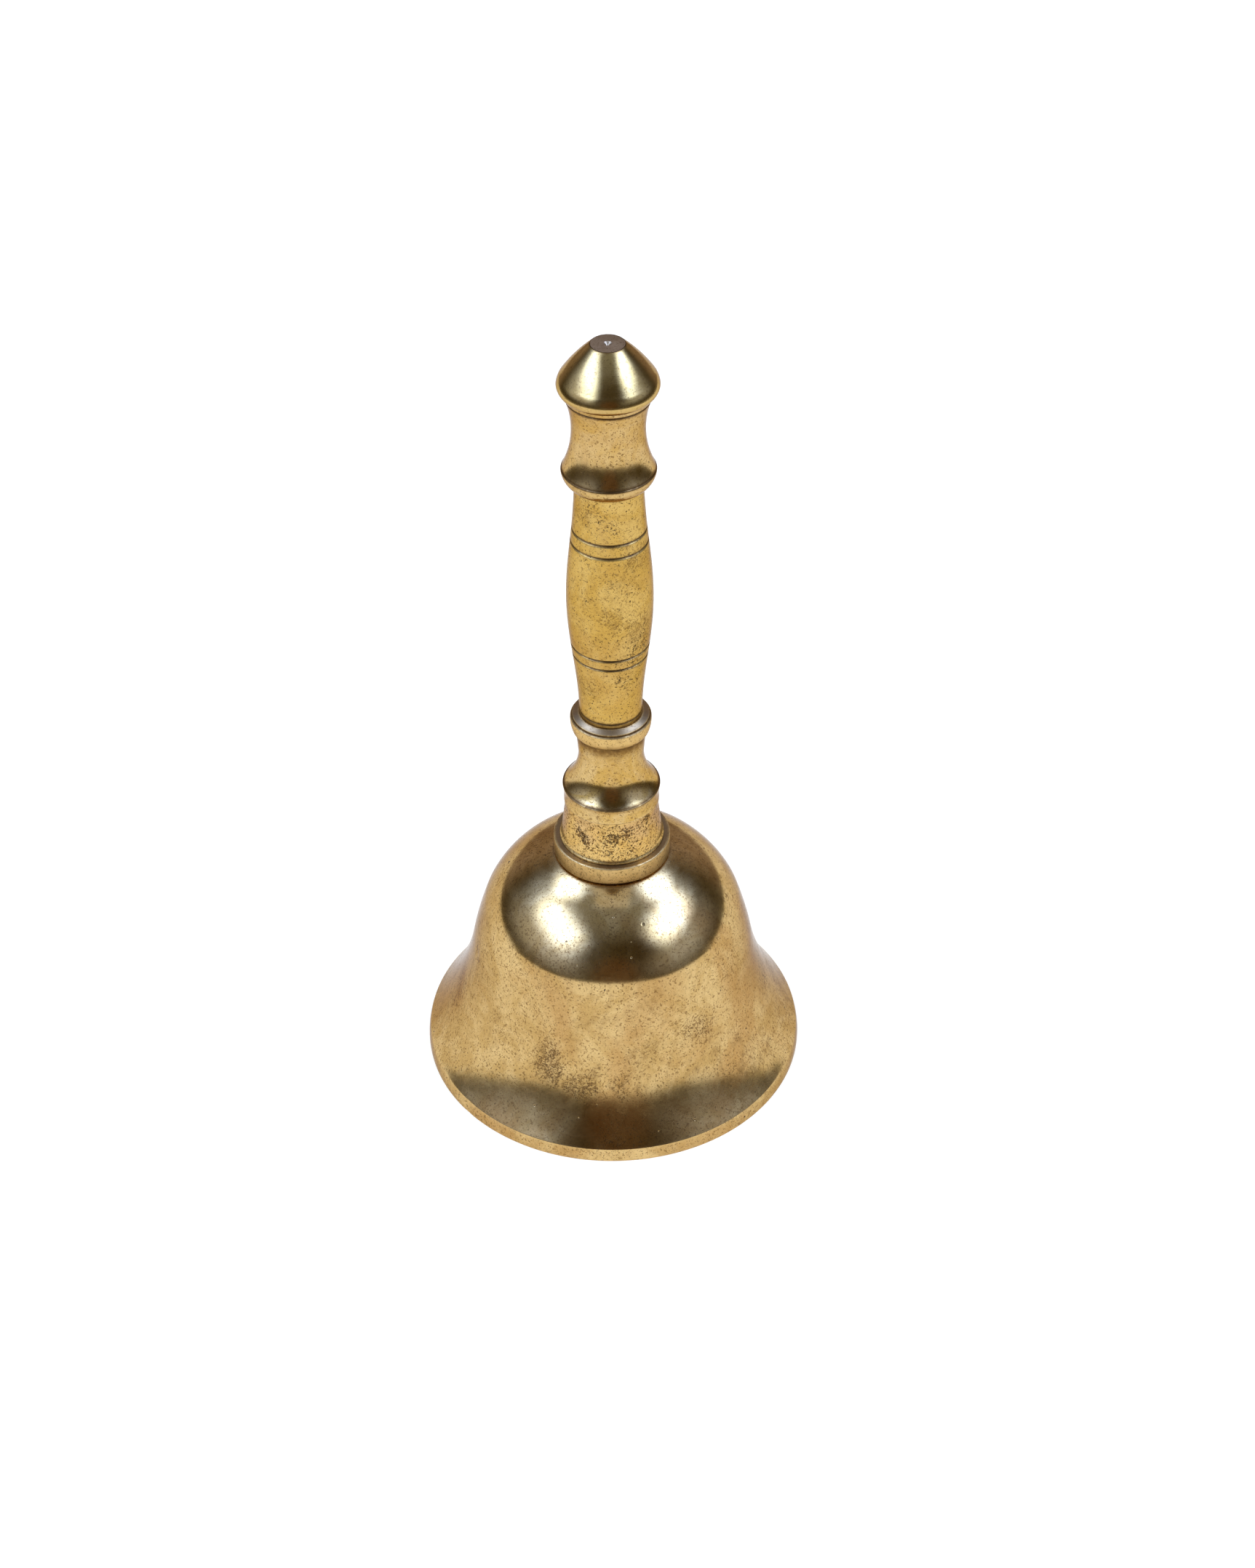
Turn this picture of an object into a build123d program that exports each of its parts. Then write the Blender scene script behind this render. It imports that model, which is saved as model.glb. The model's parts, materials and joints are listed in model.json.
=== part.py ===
from build123d import *
import math
import os

# A turned brass hand bell standing on its rim, in millimetres, with +Z up along the turning axis.
# The origin is the centre of the rim's plane. The handle is a stack of turned sleeves on one tie rod,
# which ends in an eye under the crown. A link hangs in the eye, and the clapper hangs in the link.

os.makedirs("parts", exist_ok=True)

# Bell shell: outer radii and heights above the rim's plane, and walls.
rim_radius = 35.0
rim_land = 3.0
lip_height = 2.6
lip_draft = 0.35
lip_bow = 0.12
waist_radius = 25.95
waist_height = 23.0
shoulder_radius = 23.3
shoulder_height = 33.0
shell_height = 44.9
wall = 2.4
crown_wall = 3.4
flare_bow = -1.2
waist_bow = 0.2
crown_bow = 1.9
crown_pad_land = 0.8

# Tie rod through the handle, with its riveted head let into the knob.
rod_radius = 2.5
rod_clearance = 0.05
rivet_spread = 0.3
rivet_depth = 1.2
centre_pit_radius = 0.7
centre_pit_depth = 0.6

# Handle sections, from the shell's crown up to the knob.
collar_radius = 10.45
collar_height = 3.9
collar_top_chamfer = 0.15
collar_foot_chamfer = 0.5

ferrule_radius = 9.0
ferrule_foot_step = 0.35
ferrule_foot_height = 0.35
ferrule_cove = 0.9
ferrule_cove_bow = -0.08
ferrule_neck_inset = 0.64
ferrule_neck_height = 6.9
ferrule_height = 8.8

bulge_band_radius = 8.5
bulge_band_height = 2.95
bulge_flare = 0.18
bulge_edge = 0.22
bulge_edge_bow = 0.044
baluster_waist_radius = 5.78
baluster_waist_height = 10.4
baluster_top_radius = 6.15
baluster_height = 15.45
band_bow = -0.12
bulge_bow = -0.72

ring_overhang = 1.6
ring_taper = 0.35
ring_band_height = 2.6
ring_chamfer = 0.2
ring_step_width = 0.35
ring_step_height = 3.1
ring_land = 0.15
ring_height = 3.65
ring_bow = 0.14

grip_foot_radius = 5.5
grip_belly_radius = 7.4
grip_belly_height = 24.3
grip_head_radius = 5.83
grip_length = 47.3
grip_line_heights = (13.3, 15.4, 36.3, 38.7)
grip_line_depth = 0.28
grip_line_width = 0.5
grip_foot_line_height = 0.8

spool_foot_overhang = 0.22
spool_ring_radius = 7.9
spool_ring_height = 2.7
spool_ring_edge = 0.3
spool_edge_bow = 0.03
spool_head_radius = 7.45
spool_height = 17.3
spool_foot_bow = 0.45
spool_cove_bow = -1.5
spool_line_drop = 1.0
fine_line_depth = 0.12
fine_line_width = 0.3

knob_foot_overhang = 0.1
knob_flare = 0.85
knob_edge_height = 1.5
knob_edge_bow = 0.22
knob_brow_inset = 0.8
knob_brow_height = 1.8
knob_brow_bow = 0.12
knob_height = 8.7
knob_bow = 0.22

# Fasteners under the crown.
washer_radius = 5.6
washer_thickness = 0.6
nut_wall = 1.45
nut_corner_chamfer = 0.55
nut_height = 2.6
rod_tail = 1.6
thread_pitch = 0.8
thread_depth = 0.3
thread_runout = 0.6

# Clapper: round wire eyes and a link that turn on each other with one clearance all round.
eye_wire = 0.95
link_wire = 0.85
eye_clearance = 0.35
eye_gap = 0.8
neck_length = 1.2
neck_margin = 0.2
shank_radius = 1.25
shank_shoulder = 0.7
shank_shoulder_height = 0.8
shank_shoulder_taper = 0.4
ball_radius = 6.0
ball_flat_land = 0.3
ball_clearance = 0.03
clapper_rivet_spread = 0.75
clapper_rivet_height = 0.9
clapper_rivet_bow = 0.3
table_clearance = 2.4

# Sizes and places worked out from the sizes above.
rod_bore = rod_radius + rod_clearance
rivet_radius = rod_radius + rivet_spread
crown_pad_radius = washer_radius + crown_pad_land
ferrule_foot_radius = ferrule_radius + ferrule_foot_step
ferrule_neck_radius = ferrule_radius - ferrule_neck_inset
bulge_radius = bulge_band_radius + bulge_flare
ring_radius = grip_foot_radius + ring_overhang
ring_foot_radius = ring_radius - ring_taper
ring_step_radius = ring_radius - ring_step_width
spool_foot_radius = grip_head_radius + spool_foot_overhang
knob_foot_radius = spool_head_radius + knob_foot_overhang
knob_radius = knob_foot_radius + knob_flare
nut_across_flats = 2 * (rod_bore + nut_wall)
neck_radius = eye_wire + neck_margin
shank_shoulder_radius = shank_radius + shank_shoulder
clapper_rivet_radius = shank_radius + clapper_rivet_spread
ball_flat_radius = clapper_rivet_radius + ball_flat_land

collar_base = shell_height
ferrule_base = collar_base + collar_height
baluster_base = ferrule_base + ferrule_height
ring_base = baluster_base + baluster_height
grip_base = ring_base + ring_height
spool_base = grip_base + grip_length
knob_base = spool_base + spool_height
bell_top = knob_base + knob_height

crown_inside = shell_height - crown_wall
washer_base = crown_inside - washer_thickness
nut_base = washer_base - nut_height
tail_base = nut_base - rod_tail
loop_radius = eye_wire + link_wire + eye_clearance
swing_height = tail_base - neck_length - loop_radius
link_straight = 2 * eye_wire + eye_gap
sway_height = swing_height - loop_radius - link_straight
clapper_eye_height = sway_height - loop_radius
ball_half_height = math.sqrt(ball_radius**2 - ball_flat_radius**2)
ball_base = table_clearance + clapper_rivet_height
ball_height = ball_base + ball_half_height
ball_top = ball_height + ball_half_height


def bowed(start, end, bow):
    """An arc whose middle stands bow to the right of its chord, which is outward on the way up."""
    chord = Vector(*end) - Vector(*start)
    side = Vector(chord.Y, -chord.X).normalized()
    middle = (Vector(*start) + Vector(*end)) * 0.5 + side * bow
    return ThreePointArc(start, middle, end)


def turned(*outline):
    """The solid turned by a closed outline of edges in (radius, height)."""
    return revolve(Plane.XZ * make_face(Curve() + list(outline)), Axis.Z)


def sleeve(bottom, top, *outer, bore=rod_bore):
    """A turned sleeve with a plain bore, whose outer edges run from bottom to top."""
    return turned(*outer, Polyline(top, (bore, top[1]), (bore, bottom[1]), bottom))


def turned_line(radius, height, depth, width):
    """A ring-shaped cutter for a V-shaped line of that width turned into a surface of that radius."""
    root = (radius - depth, height)
    upper = (radius + depth, height + width)
    lower = (radius + depth, height - width)
    return turned(Polyline(root, upper, lower, root))


def eye(height):
    """A round wire ring in the XZ plane, centred on the axis at that height."""
    return Pos(0, 0, height) * Rot(90, 0, 0) * Torus(loop_radius, eye_wire)


def make_bell_shell():
    """The bell: outside with a lip, flare, waist and crown, inside the same less the wall."""
    lip_radius = rim_radius - lip_draft
    crown_edge = (collar_radius, shell_height)
    outside = [
        bowed((rim_radius, 0), (lip_radius, lip_height), lip_bow),
        bowed((lip_radius, lip_height), (waist_radius, waist_height), flare_bow),
        bowed((waist_radius, waist_height), (shoulder_radius, shoulder_height), waist_bow),
        bowed((shoulder_radius, shoulder_height), crown_edge, crown_bow),
    ]
    inner_rim = (rim_radius - rim_land, 0)
    inner_waist = (waist_radius - wall, waist_height)
    inner_shoulder = (shoulder_radius - wall, shoulder_height)
    crown_pad = (crown_pad_radius, crown_inside)
    inside = [
        bowed(inner_rim, inner_waist, flare_bow),
        bowed(inner_waist, inner_shoulder, waist_bow),
        bowed(inner_shoulder, crown_pad, crown_bow),
    ]
    top = Polyline(crown_edge, (rod_bore, shell_height), (rod_bore, crown_inside), crown_pad)
    foot = Line(inner_rim, (rim_radius, 0))
    return turned(*outside, top, *inside, foot)


def make_base_collar():
    """The ring under the handle, chamfered at both edges."""
    top = ferrule_base
    bottom_point = (collar_radius - collar_foot_chamfer, collar_base)
    top_point = (collar_radius - collar_top_chamfer, top)
    outer = Polyline(
        bottom_point,
        (collar_radius, collar_base + collar_foot_chamfer),
        (collar_radius, top - collar_top_chamfer),
        top_point,
    )
    return sleeve(bottom_point, top_point, outer)


def make_ferrule():
    """A sleeve with a small stepped foot, a cove, and a slightly necked wall."""
    foot = (ferrule_foot_radius, ferrule_base)
    step = (ferrule_foot_radius, ferrule_base + ferrule_foot_height)
    wall_start = (ferrule_radius, ferrule_base + ferrule_foot_height + ferrule_cove)
    neck = (ferrule_neck_radius, ferrule_base + ferrule_neck_height)
    top = (bulge_band_radius, baluster_base)
    outer = [
        Line(foot, step),
        bowed(step, wall_start, ferrule_cove_bow),
        Line(wall_start, neck),
        Line(neck, top),
    ]
    return sleeve(foot, top, *outer)


def make_baluster():
    """A band, a sharp-edged bulge, and a cove up to the ring."""
    foot = (bulge_band_radius, baluster_base)
    edge_height = baluster_base + bulge_band_height
    edge = (bulge_radius, edge_height)
    bulge = (bulge_radius - bulge_edge, edge_height + bulge_edge)
    waist = (baluster_waist_radius, baluster_base + baluster_waist_height)
    top = (baluster_top_radius, ring_base)
    outer = [
        bowed(foot, edge, band_bow),
        bowed(edge, bulge, bulge_edge_bow),
        bowed(bulge, waist, bulge_bow),
        Line(waist, top),
    ]
    return sleeve(foot, top, *outer)


def make_lower_ring():
    """A bead whose top steps in twice to the foot of the grip."""
    foot = (ring_foot_radius, ring_base)
    band_top = (ring_radius, ring_base + ring_band_height)
    chamfer_top = (ring_radius - ring_chamfer, ring_base + ring_band_height + ring_chamfer)
    step = (ring_step_radius, ring_base + ring_step_height)
    top = (grip_foot_radius + ring_land, grip_base)
    outer = [
        bowed(foot, band_top, ring_bow),
        Polyline(band_top, chamfer_top, (ring_step_radius, chamfer_top[1]), step, top),
    ]
    return sleeve(foot, top, *outer)


def grip_radius(height):
    """The grip's radius at a height above its foot: it swells to its belly and back in soft waves."""
    if height < grip_belly_height:
        end_radius = grip_foot_radius
        share = (grip_belly_height - height) / grip_belly_height
    else:
        end_radius = grip_head_radius
        share = (height - grip_belly_height) / (grip_length - grip_belly_height)
    return grip_belly_radius - (grip_belly_radius - end_radius) * (1 - math.cos(math.pi * share)) / 2


def make_grip_barrel():
    """The long swelling grip with its turned lines."""
    stations = 12
    heights = [grip_length * i / stations for i in range(stations + 1)]
    points = [(grip_radius(h), grip_base + h) for h in heights]
    upright = [(0, 1), (0, 1)]
    barrel = sleeve(points[0], points[-1], Spline(*points, tangents=upright))
    for height in grip_line_heights:
        barrel -= turned_line(grip_radius(height), grip_base + height, grip_line_depth, grip_line_width)
    foot_line = turned_line(
        grip_radius(grip_foot_line_height), grip_base + grip_foot_line_height, fine_line_depth, fine_line_width
    )
    return barrel - foot_line


def make_spool():
    """A ring and a long cove up to the knob, with one fine line near its head."""
    foot = (spool_foot_radius, spool_base)
    ring = (spool_ring_radius, spool_base + spool_ring_height)
    ring_top = (spool_ring_radius - spool_ring_edge / 2, ring[1] + spool_ring_edge)
    head = (spool_head_radius, knob_base)
    outer = [
        bowed(foot, ring, spool_foot_bow),
        bowed(ring, ring_top, spool_edge_bow),
        bowed(ring_top, head, spool_cove_bow),
    ]
    line_height = knob_base - spool_line_drop
    line = turned_line(radius_on(outer[2], line_height), line_height, fine_line_depth, fine_line_width)
    return sleeve(foot, head, *outer) - line


def radius_on(edge, height):
    """The radius of an outline's edge at that height."""
    crossing = edge.intersect(Line((0, height), (spool_ring_radius, height)))
    return max(vertex.X for vertex in crossing.vertices())


def make_finial_knob():
    """The cone-shaped knob, with a countersink for the rod's riveted head."""
    foot = (knob_foot_radius, knob_base)
    edge = (knob_radius, knob_base + knob_edge_height)
    brow = (knob_radius - knob_brow_inset, edge[1] + knob_brow_height)
    seat_radius = rivet_radius + rod_clearance
    top = (seat_radius, bell_top)
    seat = (rod_bore, bell_top - rivet_depth)
    outer = [
        bowed(foot, edge, knob_edge_bow),
        bowed(edge, brow, knob_brow_bow),
        bowed(brow, top, knob_bow),
        Polyline(top, seat, (rod_bore, knob_base), foot),
    ]
    return turned(*outer)


def make_tie_rod():
    """The rod: riveted head with a centre pit, plain length, thread end, neck and eye."""
    neck_top = (rod_radius, tail_base)
    neck_foot = (neck_radius, tail_base - neck_length)
    outline = Polyline(
        (0, neck_foot[1]),
        neck_foot,
        neck_top,
        (rod_radius, bell_top - rivet_depth),
        (rivet_radius, bell_top),
        (centre_pit_radius, bell_top),
        (0, bell_top - centre_pit_depth),
        (0, neck_foot[1]),
    )
    rod = turned(outline)
    turns = int((rod_tail - thread_depth) / thread_pitch)
    for i in range(turns):
        height = tail_base + thread_runout + thread_pitch * i
        rod -= turned_line(rod_radius, height, thread_depth, thread_pitch / 2)
    return rod + eye(swing_height)


def make_crown_washer():
    """A plain washer."""
    bottom = (washer_radius, washer_base)
    top = (washer_radius, crown_inside)
    return sleeve(bottom, top, Line(bottom, top))


def make_crown_nut():
    """A hexagon nut, its corners turned off at both faces."""
    corner_radius = nut_across_flats / math.sqrt(3)
    blank = extrude(RegularPolygon(corner_radius, 6), nut_height)
    corner_cut = corner_radius - nut_across_flats / 2
    envelope = chamfer(
        Cylinder(corner_radius, nut_height, align=(Align.CENTER, Align.CENTER, Align.MIN)).edges(),
        corner_cut * nut_corner_chamfer,
        corner_cut,
    )
    nut = blank & envelope
    nut -= Cylinder(rod_bore, nut_height, align=(Align.CENTER, Align.CENTER, Align.MIN))
    return Pos(0, 0, nut_base) * nut


def make_clapper_link():
    """A closed oval link of round wire in the YZ plane."""
    top_centre = swing_height - loop_radius
    bow = revolve(Plane.XY * Pos(loop_radius, 0) * Circle(link_wire), Axis.Y, 180)
    leg = Pos(0, 0, sway_height) * Cylinder(
        link_wire, link_straight, align=(Align.CENTER, Align.CENTER, Align.MIN)
    )
    link = Pos(0, loop_radius, 0) * leg + Pos(0, -loop_radius, 0) * leg
    for height, turn in ((top_centre, 180), (sway_height, 0)):
        link += Pos(0, 0, height) * Rot(turn, 0, 0) * Rot(0, 0, 90) * bow
    return link


def make_clapper_rod():
    """The clapper's rod: eye, shank, shoulder above the ball and riveted end below it."""
    rivet_top = (shank_radius, ball_base)
    shoulder_top = ball_top + shank_shoulder_height
    eye_foot = clapper_eye_height - loop_radius
    outline = [
        bowed((0, table_clearance), (clapper_rivet_radius, ball_base), clapper_rivet_bow),
        Polyline(
            (clapper_rivet_radius, ball_base),
            rivet_top,
            (shank_radius, ball_top),
            (shank_shoulder_radius, ball_top),
            (shank_shoulder_radius, shoulder_top),
            (shank_radius, shoulder_top + shank_shoulder_taper),
            (shank_radius, eye_foot - eye_wire),
            (eye_wire, eye_foot),
            (0, eye_foot),
            (0, table_clearance),
        ),
    ]
    return turned(*outline) + eye(clapper_eye_height)


def make_clapper_ball():
    """A drilled ball with a flat at each end of its bore."""
    bottom = (ball_flat_radius, ball_base)
    top = (ball_flat_radius, ball_top)
    side = ThreePointArc(bottom, (ball_radius, ball_height), top)
    return sleeve(bottom, top, side, bore=shank_radius + ball_clearance)


NODES = {
    "bell_shell": make_bell_shell,
    "base_collar": make_base_collar,
    "ferrule": make_ferrule,
    "baluster": make_baluster,
    "lower_ring": make_lower_ring,
    "grip_barrel": make_grip_barrel,
    "spool": make_spool,
    "finial_knob": make_finial_knob,
    "tie_rod": make_tie_rod,
    "crown_washer": make_crown_washer,
    "crown_nut": make_crown_nut,
    "clapper_link": make_clapper_link,
    "clapper_rod": make_clapper_rod,
    "clapper_ball": make_clapper_ball,
}

for node, make in NODES.items():
    export_step(make(), f"parts/{node}.step")

print(f"clapper swing about Y at z = {swing_height:.3f}, sway about X at z = {sway_height:.3f}")
print(f"height {bell_top:.2f}, ball centre at z = {ball_height:.3f}")
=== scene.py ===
import json
import math
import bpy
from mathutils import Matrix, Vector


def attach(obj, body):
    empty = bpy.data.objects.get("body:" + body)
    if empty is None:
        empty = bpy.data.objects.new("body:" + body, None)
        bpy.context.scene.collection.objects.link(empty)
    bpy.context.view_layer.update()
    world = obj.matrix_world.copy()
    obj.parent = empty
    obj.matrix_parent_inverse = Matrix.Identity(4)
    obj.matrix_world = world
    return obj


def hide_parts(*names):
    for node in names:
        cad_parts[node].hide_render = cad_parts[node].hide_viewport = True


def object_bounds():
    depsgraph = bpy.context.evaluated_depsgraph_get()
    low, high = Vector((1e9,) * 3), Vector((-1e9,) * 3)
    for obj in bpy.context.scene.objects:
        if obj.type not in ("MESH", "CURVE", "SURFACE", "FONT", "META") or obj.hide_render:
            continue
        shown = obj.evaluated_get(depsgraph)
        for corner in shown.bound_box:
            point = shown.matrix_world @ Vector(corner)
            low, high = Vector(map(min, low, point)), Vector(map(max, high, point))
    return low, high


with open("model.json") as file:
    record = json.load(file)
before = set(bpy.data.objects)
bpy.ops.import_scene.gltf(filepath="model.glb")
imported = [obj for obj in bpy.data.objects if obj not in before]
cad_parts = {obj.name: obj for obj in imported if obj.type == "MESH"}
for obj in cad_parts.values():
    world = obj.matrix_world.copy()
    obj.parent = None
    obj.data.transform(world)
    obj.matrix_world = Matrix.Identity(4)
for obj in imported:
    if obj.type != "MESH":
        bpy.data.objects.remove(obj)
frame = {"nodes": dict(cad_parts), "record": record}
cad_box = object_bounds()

from types import SimpleNamespace

import bpy
import numpy as np
from mathutils import Quaternion, Vector

MM = 0.001
RECORD_SLOTS = {s["node"]: s["material_slot"] for s in frame["record"]["subparts"]}
NODE_BODY = {n: b for b, ns in frame["record"]["behaviour"]["bodies"].items() for n in ns}

# ---------------------------------------------------------------- turned shapes from the frame

CORNER_TURN = math.radians(13)  # a sharper turn than this in a CAD outline is a real corner
SAME_PLACE = 2e-6


def outline_of(node):
    """The closed outline (radius, height) of a turned CAD node, from its mesh edges on the +X half-plane."""
    mesh = frame["nodes"][node].data
    co = np.array([v.co for v in mesh.vertices])
    on_seam = (np.abs(co[:, 1]) < SAME_PLACE) & (co[:, 0] > SAME_PLACE)
    key = {i: tuple(np.round(co[i, [0, 2]] / SAME_PLACE).astype(int)) for i in np.flatnonzero(on_seam)}
    links = {}
    for edge in mesh.edges:
        a, b = (key.get(i) for i in edge.vertices)
        if a is None or b is None or a == b:
            continue
        links.setdefault(a, set()).add(b)
        links.setdefault(b, set()).add(a)
    start = max(links, key=lambda k: (k[0], -k[1]))
    path = [start]
    step = max(links[start], key=lambda k: k[1])
    while step != start:
        path.append(step)
        ahead = [k for k in links[step] if k != path[-2]]
        step = ahead[0]
    return np.array(path) * SAME_PLACE


def turns_of(points):
    """The signed turn at each point of a closed outline; positive is a left turn, an outer corner."""
    before = points - np.roll(points, 1, axis=0)
    after = np.roll(points, -1, axis=0) - points
    cross = before[:, 0] * after[:, 1] - before[:, 1] * after[:, 0]
    return np.arctan2(cross, (before * after).sum(1))


def smooth_stretch(points, step):
    """Points along one smooth stretch, by a Catmull-Rom curve through the CAD's own points."""
    if len(points) == 2:
        count = max(1, int(np.linalg.norm(points[1] - points[0]) / step))
        return [points[0] + (points[1] - points[0]) * i / count for i in range(count)]
    ends = [2 * points[0] - points[1], *points, 2 * points[-1] - points[-2]]
    made = []
    for p0, p1, p2, p3 in zip(ends, ends[1:], ends[2:], ends[3:]):
        count = max(1, int(round(np.linalg.norm(p2 - p1) / step)))
        for t in np.arange(count) / count:
            made.append(
                0.5 * (2 * p1 + (p2 - p0) * t + (2 * p0 - 5 * p1 + 4 * p2 - p3) * t**2
                       + (3 * p1 - p0 - 3 * p2 + p3) * t**3)
            )
    return made


def refined_outline(node, step, edge_radius):
    """A dense outline with softened corners: arrays of points, corner sharpness and hollowness."""
    rough = outline_of(node)
    turns = turns_of(rough)
    corners = np.flatnonzero(np.abs(turns) > CORNER_TURN)
    rough = np.roll(rough, -corners[0], axis=0)
    turns = np.roll(turns, -corners[0])
    corners = [*(corners - corners[0]), len(rough)]
    closed = np.vstack([rough, rough[:1]])
    points, edge, hollow = [], [], []
    stretches = [smooth_stretch(closed[a:b + 1], step) for a, b in zip(corners, corners[1:])]
    for k, stretch in enumerate(stretches):
        corner = stretch[0]
        previous = stretches[k - 1]
        into = previous[-1] - corner
        out = (stretch[1] if len(stretch) > 1 else stretches[(k + 1) % len(stretches)][0]) - corner
        reach = min(edge_radius, 0.4 * np.linalg.norm(into), 0.4 * np.linalg.norm(out))
        a = corner + into / np.linalg.norm(into) * reach
        b = corner + out / np.linalg.norm(out) * reach
        sharp = turns[corners[k]]
        for t in (0, 0.25, 0.5, 0.75, 1):
            points.append((1 - t) ** 2 * a + 2 * t * (1 - t) * corner + t * t * b)
            edge.append(1.0 if sharp > 0 else 0.0)
            hollow.append(1.0 if sharp < 0 else 0.0)
        for p in stretch[1:]:
            points.append(p)
            edge.append(0.0)
            hollow.append(0.0)
    return np.array(points), np.array(edge), np.array(hollow)


SEAM_REACH = 0.7 * MM


def spread_along(points, marks, reach):
    """Each mark spreads along the outline and fades out over reach."""
    lengths = np.linalg.norm(np.roll(points, -1, axis=0) - points, axis=1)
    place = np.concatenate([[0], np.cumsum(lengths)[:-1]])
    total = lengths.sum()
    sources = place[marks > 0.5]
    if len(sources) == 0:
        return np.zeros(len(points))
    gap = np.abs(place[:, None] - sources[None, :])
    gap = np.minimum(gap, total - gap).min(1)
    return np.clip(1 - gap / reach, 0, 1) ** 1.5


def waviness(angle, height, amount, seed):
    """A slight unevenness left by hand polishing, as a few soft waves."""
    rng = np.random.RandomState(seed)
    total = np.zeros_like(angle)
    for _ in range(9):
        around = rng.randint(1, 9)
        along = rng.uniform(60, 420)
        total += np.sin(around * angle + along * height + rng.uniform(0, 6.28)) * rng.uniform(0.3, 1)
    return total * amount / 3


BORE_MARGIN = 0.3 * MM  # a point this close to the smallest radius belongs to the bore
END_MARGIN = 0.05 * MM  # an edge this close to the foot or the head is a seam
WEAR_REACH = 0.35 * MM
# how dark hollow corners are made: dirt together with painted shade, as if in shadow
HOLLOW_DIRT_AND_SHADE = 0.75
RAW_SLOPE = 0.8  # how squarely upwards a raw top faces
DENTED_SLOPE = -0.2  # a surface that faces further inwards than this keeps clear of dents
DENT_FALLOFF = 2.5


def outline_masks(outline, normal, edge, hollow, seams, unpolished):
    """Dirt with painted shade in hollow corners and at the foot and head seams, wear, raw metal and dullness
    at each point of an outline.
    """
    low, high = outline[:, 1].min(), outline[:, 1].max()
    at_foot = (outline[:, 1] < low + END_MARGIN) & (edge > 0)
    at_head = (outline[:, 1] > high - END_MARGIN) & (edge > 0)
    foot_grime, head_grime, reach = seams
    # painted shade with dirt: hollow corners and the seams at the foot and head are darkened where shadow
    # falls
    grime = np.max([spread_along(outline, hollow, SEAM_REACH) * HOLLOW_DIRT_AND_SHADE,
                    spread_along(outline, at_foot, reach) * foot_grime,
                    spread_along(outline, at_head, reach) * head_grime], axis=0)
    wear = spread_along(outline, (edge > 0) & ~at_foot & ~at_head, WEAR_REACH)
    raw = ((normal[:, 1] > RAW_SLOPE) & (edge < 0.5)) * unpolished
    matte = np.full(len(outline), unpolished)
    return {"grime": grime, "wear": wear * (1 - grime), "raw": raw, "matte": matte}


def ring_mesh(name, points, rows, segments):
    """A closed, smooth mesh of quads through rows of points that each run round the axis."""
    grid = np.arange(rows * segments).reshape(rows, segments)
    below, right = np.roll(grid, -1, axis=0), np.roll(grid, -1, axis=1)
    corner = np.roll(below, -1, axis=1)
    faces = np.stack([grid, right, corner, below], axis=2).reshape(-1, 4)
    mesh = bpy.data.meshes.new(name)
    mesh.vertices.add(len(points))
    mesh.vertices.foreach_set("co", points.astype(np.float32).ravel())
    mesh.loops.add(faces.size)
    mesh.loops.foreach_set("vertex_index", faces.ravel().astype(np.int32))
    mesh.polygons.add(len(faces))
    mesh.polygons.foreach_set("loop_start", np.arange(0, faces.size, 4, dtype=np.int32))
    mesh.polygons.foreach_set("use_smooth", np.ones(len(faces), bool))
    mesh.update(calc_edges=True)
    return mesh


def turned_piece(name, node, step, segments, edge_radius, wave, seams, unpolished, dents, seed):
    """A turned piece on the node's own outline, with softened edges, waviness and dents in its surface.

    seams are how dark the dirt and painted shade are at the foot and at the head, and how far they reach. A
    dent is its azimuth from the front in degrees, height, radius and depth. An unpolished piece is duller,
    with a raw top."""
    outline, edge, hollow = refined_outline(node, step, edge_radius)
    rows = len(outline)
    in_bore = outline[:, 0] < outline[:, 0].min() + BORE_MARGIN
    tangent = np.roll(outline, -1, axis=0) - np.roll(outline, 1, axis=0)
    tangent /= np.linalg.norm(tangent, axis=1)[:, None]
    normal = np.stack([tangent[:, 1], -tangent[:, 0]], axis=1)
    angle = np.tile(np.arange(segments) * 2 * math.pi / segments, rows)
    radius = np.repeat(outline[:, 0], segments)
    height = np.repeat(outline[:, 1], segments)
    waves = waviness(angle, height, wave, seed)
    offset = (waves - waves.max()) * (1 - np.repeat(in_bore, segments))
    facing = np.repeat(normal[:, 0] > DENTED_SLOPE, segments)
    for azimuth, place, size, depth in dents:
        across = np.angle(np.exp(1j * (angle - math.radians(azimuth - 90)))) * radius
        distance = np.hypot(across, height - place) / size
        offset -= np.where(facing, depth * np.exp(-distance**2 * DENT_FALLOFF), 0)
    r = radius + offset * np.repeat(normal[:, 0], segments)
    z = height + offset * np.repeat(normal[:, 1], segments)
    mesh = ring_mesh(name, np.stack([r * np.cos(angle), r * np.sin(angle), z], axis=1), rows, segments)
    for label, values in outline_masks(outline, normal, edge, hollow, seams, unpolished).items():
        layer = mesh.attributes.new(label, "FLOAT", "POINT")
        layer.data.foreach_set("value", np.repeat(values, segments).astype(np.float32))
    mesh.validate()
    piece = bpy.data.objects.new(name, mesh)
    bpy.context.scene.collection.objects.link(piece)
    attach(piece, NODE_BODY[node])
    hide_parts(node)
    return piece


# ---------------------------------------------------------------- materials


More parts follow.
